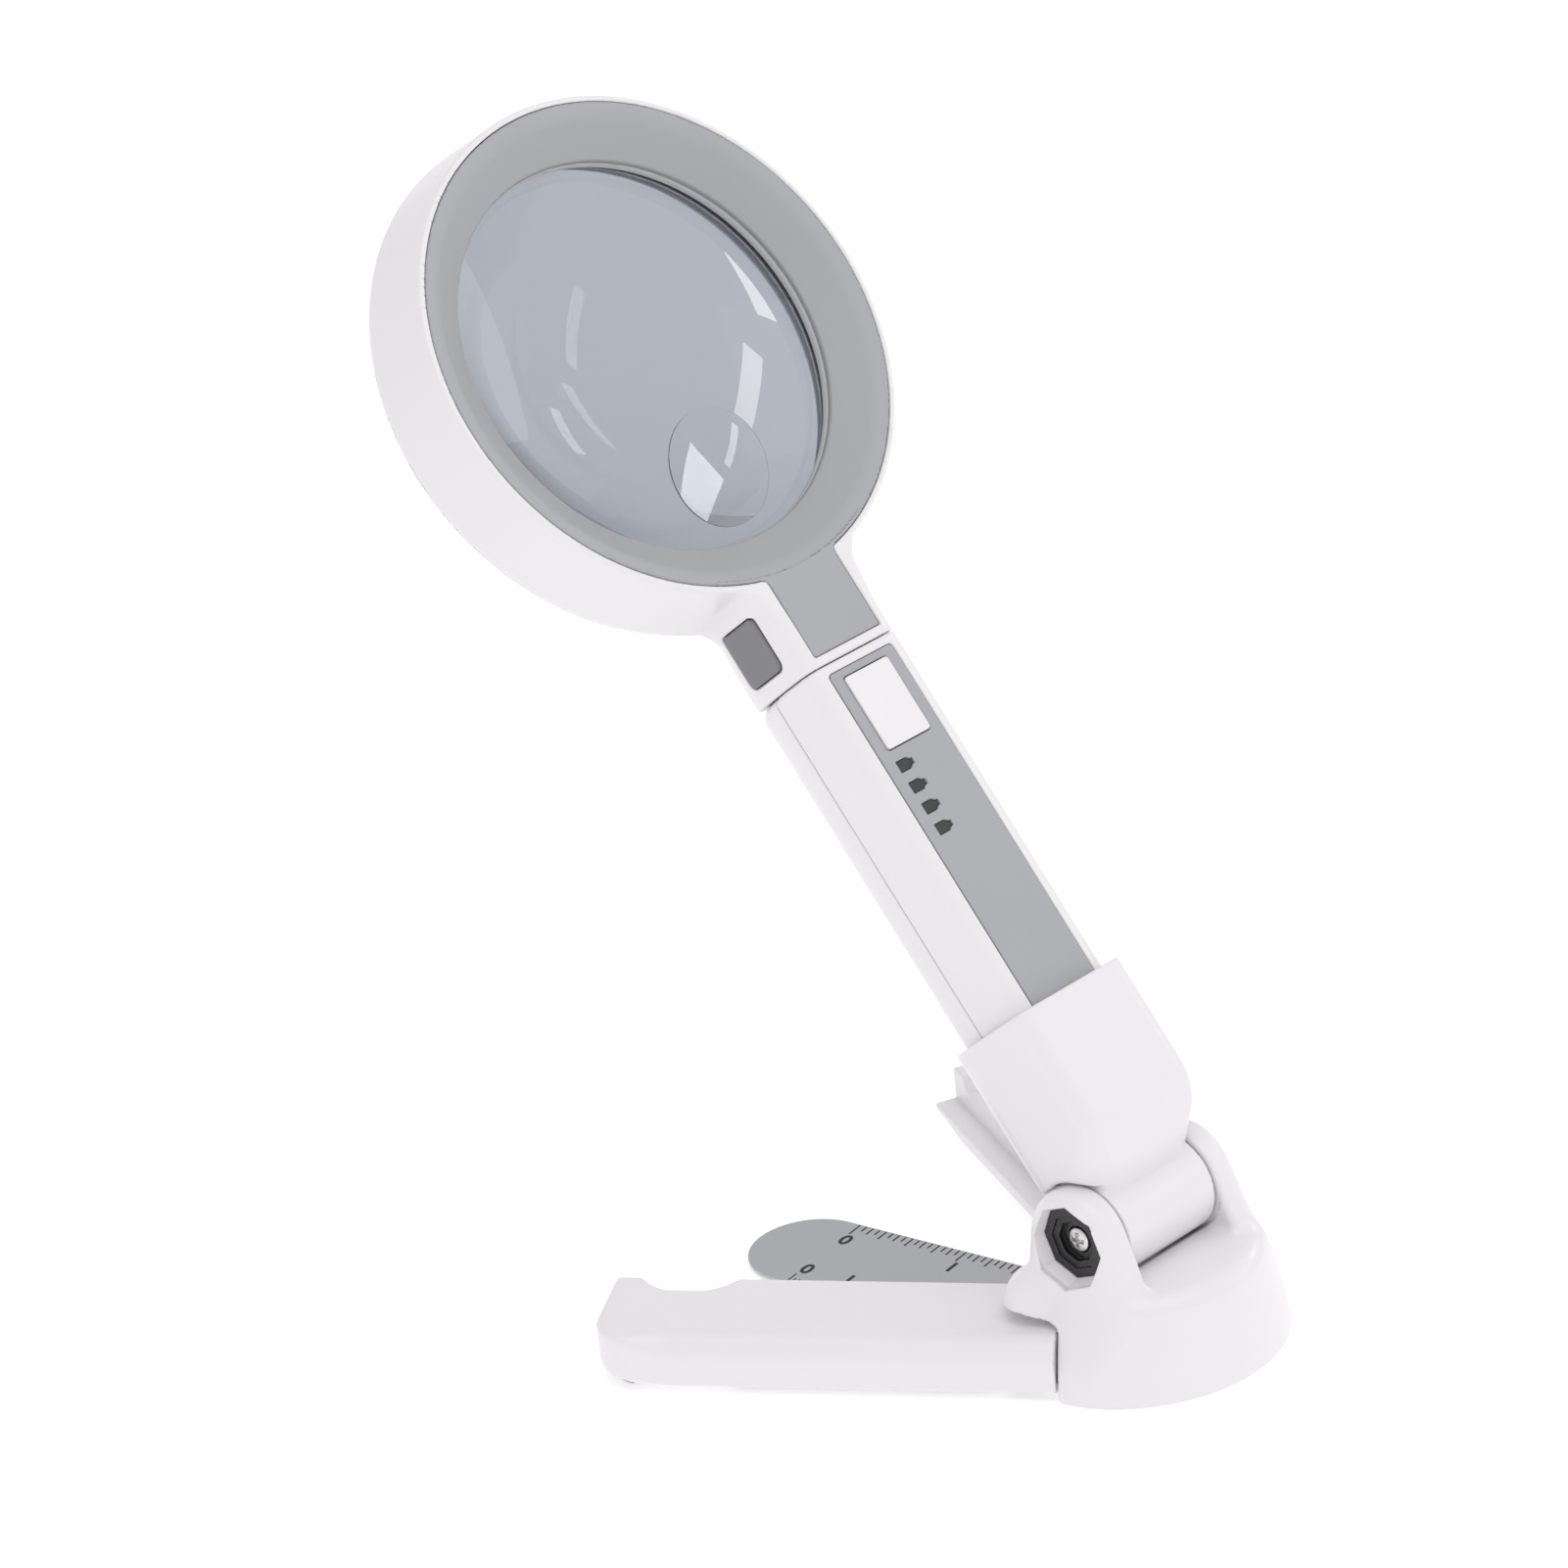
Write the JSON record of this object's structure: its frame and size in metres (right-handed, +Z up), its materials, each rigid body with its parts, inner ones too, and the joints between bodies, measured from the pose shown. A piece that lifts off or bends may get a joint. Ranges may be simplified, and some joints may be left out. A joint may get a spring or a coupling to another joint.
{
  "type": "low vision magnifier",
  "caption": "Lighted round hand magnifier with an inset lens, standing in the tilting socket of a folding two-legged stand with a swing-out ruler.",
  "frame": {"origin": "on the floor the stand rests on, straight under the middle of the tilt axis", "axes": "+X is the user's right, along the tilt axis; +Y points away from the user, towards the legs; +Z is up"},
  "size_m": [0.136, 0.1755, 0.2238],
  "materials": {
    "white_shell": "satin moulded ABS",
    "gray_trim": "fine matt texture",
    "dark_trim": "fine matt texture",
    "black_plastic": "satin",
    "window_smoke": "smoked, glossy",
    "lens_clear": "polished",
    "diffuser": "milky",
    "zinc_steel": "zinc plated",
    "ruler_metal": "matt silver with dark printing",
    "rubber_pad": "matt",
    "board_green": "solder mask",
    "board_white": "solder mask",
    "led_yellow": "phosphor",
    "cell_wrap": "shrink sleeve",
    "contact_brass": "plated",
    "pale_rubber": "matt"
  },
  "bodies": {
    "stand": {"stand_body": "white_shell", "base_cover": "white_shell", "ballast_plate": "zinc_steel", "base_pads": "rubber_pad", "base_screws": "zinc_steel", "leg_pins": "zinc_steel", "ruler_screw": "zinc_steel", "tilt_screw": "zinc_steel", "tilt_nut": "zinc_steel", "octagon_cup": "black_plastic", "tilt_washers": "zinc_steel"},
    "left_leg": {"leg_left": "white_shell", "leg_foot_left": "pale_rubber"},
    "right_leg": {"leg_right": "white_shell", "leg_foot_right": "pale_rubber"},
    "ruler_blade": {"ruler": "ruler_metal"},
    "tilt_socket": {"socket": "white_shell"},
    "handle": {"handle_front_shell": "white_shell", "handle_back_shell": "white_shell", "control_panel": "gray_trim", "charge_indicators": "window_smoke", "control_board": "board_green", "power_switch": "black_plastic", "battery": "cell_wrap", "battery_contacts": "contact_brass", "charge_port": "zinc_steel", "case_screws": "zinc_steel", "handle_terminals": "contact_brass"},
    "button": {"power_button": "white_shell"},
    "head": {"head_shell": "white_shell", "head_back_cover": "white_shell", "bezel": "gray_trim", "main_lens": "lens_clear", "inset_lens": "lens_clear", "lens_ring": "white_shell", "led_board": "board_white", "leds": "led_yellow", "light_diffuser": "diffuser", "neck_plug": "black_plastic", "neck_pins": "contact_brass"},
    "release_left": {"release_button_left": "dark_trim"},
    "release_right": {"release_button_right": "dark_trim"}
  },
  "joints": [
    {"name": "tilt", "type": "hinge", "parent": "stand", "child": "tilt_socket", "pos_m": [0, 0, 0.028], "axis": [-1, 0, 0], "range_deg": [-53, 52]},
    {"name": "left_leg_swing", "type": "hinge", "parent": "stand", "child": "left_leg", "pos_m": [-0.0119, 0.003, 0], "axis": [0, 0, -1], "range_deg": [0, 31]},
    {"name": "right_leg_swing", "type": "hinge", "parent": "stand", "child": "right_leg", "pos_m": [0.0119, 0.003, 0], "axis": [0, 0, 1], "range_deg": [-5.5, 25.5]},
    {"name": "ruler_swing", "type": "hinge", "parent": "stand", "child": "ruler_blade", "pos_m": [-0.003, 0.008, 0], "axis": [0, 0, 1], "range_deg": [-22, 16]},
    {"name": "lift_out", "type": "slide", "parent": "tilt_socket", "child": "handle", "axis": [0, 0.6157, 0.788], "range_m": [0, 0.04]},
    {"name": "head_release", "type": "slide", "parent": "handle", "child": "head", "axis": [0, 0.6157, 0.788], "range_m": [0, 0.016]},
    {"name": "power_press", "type": "slide", "parent": "handle", "child": "button", "axis": [0, 0.788, -0.6157], "range_m": [0, 0.0007], "stiffness_N_per_m": 800},
    {"name": "release_press_left", "type": "slide", "parent": "head", "child": "release_left", "axis": [1, 0, 0], "range_m": [0, 0.0012], "stiffness_N_per_m": 600},
    {"name": "release_press_right", "type": "slide", "parent": "head", "child": "release_right", "axis": [-1, 0, 0], "range_m": [0, 0.0012], "stiffness_N_per_m": 600}
  ]
}
